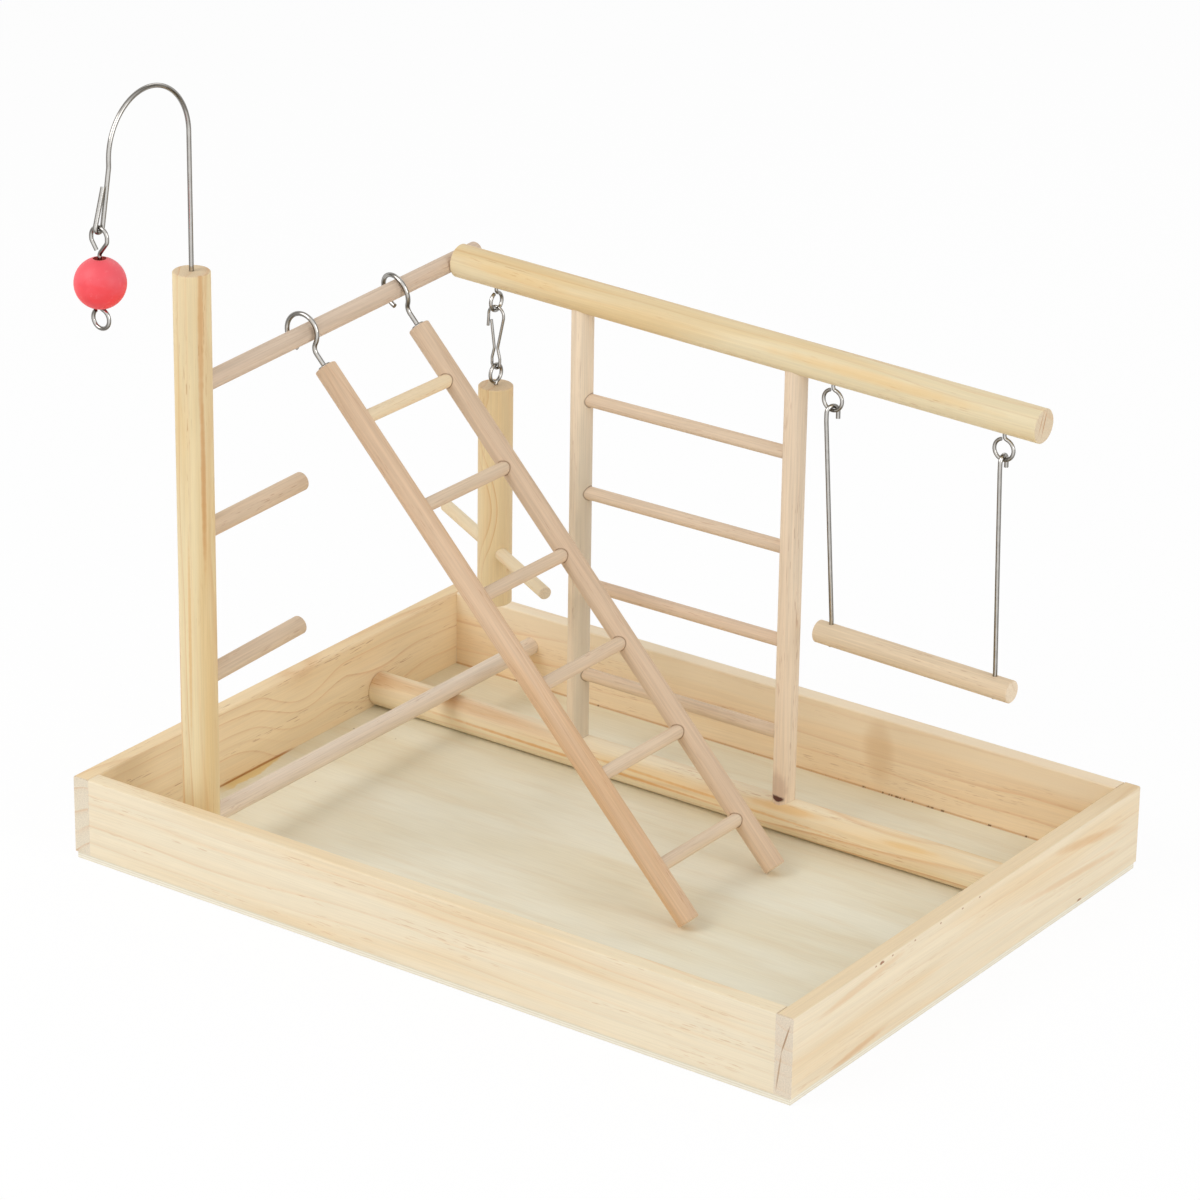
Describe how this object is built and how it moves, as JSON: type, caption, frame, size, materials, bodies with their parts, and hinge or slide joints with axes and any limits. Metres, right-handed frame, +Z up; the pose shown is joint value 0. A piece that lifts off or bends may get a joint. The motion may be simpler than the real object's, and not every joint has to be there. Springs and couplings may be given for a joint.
{
  "type": "parrot play stand",
  "caption": "Shallow wooden tray with a dowel frame for a small parrot: perches, a leaning ladder, a swing, a hanging perch and a bead pendant on bent wire.",
  "frame": {"origin": "centre of the tray's underside, on the surface the stand rests on", "axes": "+X along the tray's long side, towards the swing; +Y to the back board; +Z up"},
  "size_m": [0.42, 0.3539, 0.4045],
  "materials": {
    "plywood": "matte",
    "pine_board": "matte",
    "pine_dowel": "matte",
    "beech_dowel": "matte",
    "nickel_wire": "polished",
    "screw_steel": "satin",
    "red_paint": "satin paint"
  },
  "bodies": {
    "stand": {"tray_base_panel": "plywood", "tray_front_board": "pine_board", "tray_back_board": "pine_board", "tray_left_board": "pine_board", "tray_right_board": "pine_board", "base_rail": "pine_dowel", "base_screws": "screw_steel", "front_post": "pine_dowel", "low_cross_perch": "beech_dowel", "top_cross_perch": "beech_dowel", "upper_stub_perch": "beech_dowel", "lower_stub_perch": "beech_dowel", "main_perch": "pine_dowel", "perch_screw": "screw_steel", "left_upright": "beech_dowel", "right_upright": "beech_dowel", "toy_hook_wire": "nickel_wire", "hanger_screw_eye": "nickel_wire", "swing_left_eye": "nickel_wire", "swing_right_eye": "nickel_wire", "back_rung_1": "beech_dowel", "back_rung_2": "beech_dowel", "back_rung_3": "beech_dowel", "back_rung_4": "beech_dowel"},
    "clip": {"snap_clip": "nickel_wire"},
    "hanging_perch": {"post_screw_eye": "nickel_wire", "hanging_post": "pine_dowel", "hanging_cross_stick": "beech_dowel"},
    "swing": {"swing_left_wire": "nickel_wire", "swing_right_wire": "nickel_wire", "swing_bar": "beech_dowel"},
    "bead_hanger": {"bead_wire": "nickel_wire"},
    "bead": {"red_bead": "red_paint"},
    "ladder": {"ladder_front_rail": "beech_dowel", "ladder_back_rail": "beech_dowel", "ladder_front_hook": "nickel_wire", "ladder_back_hook": "nickel_wire", "ladder_rung_1": "beech_dowel", "ladder_rung_2": "beech_dowel", "ladder_rung_3": "beech_dowel", "ladder_rung_4": "beech_dowel", "ladder_rung_5": "beech_dowel", "ladder_rung_6": "beech_dowel"}
  },
  "joints": [
    {"name": "ladder_lift", "type": "hinge", "parent": "stand", "child": "ladder", "pos_m": [-0.15284, -0.041, 0.25295], "axis": [0.0099, -0.9993, -0.0349], "range_deg": [0, 95]},
    {"name": "swing_pivot", "type": "hinge", "parent": "stand", "child": "swing", "pos_m": [0.0735, 0.0765, 0.2308], "axis": [0.9996, 0, -0.0272], "range_deg": [-60, 60]},
    {"name": "clip_swing", "type": "hinge", "parent": "stand", "child": "clip", "pos_m": [-0.1262, 0.0765, 0.23767], "axis": [0, 1, 0], "range_deg": [-5, 12]},
    {"name": "hanging_perch_swing", "type": "hinge", "parent": "clip", "child": "hanging_perch", "pos_m": [-0.1262, 0.0765, 0.20708], "axis": [1, 0, 0], "range_deg": [-20, 6]},
    {"name": "bead_swing", "type": "hinge", "parent": "stand", "child": "bead_hanger", "pos_m": [-0.152, -0.18922, 0.3438], "axis": [0, 1, 0], "range_deg": [-40, 40]},
    {"name": "bead_spin", "type": "hinge", "parent": "bead_hanger", "child": "bead", "pos_m": [-0.152, -0.18922, 0.31965], "axis": [0, 0, 1], "continuous": true}
  ]
}
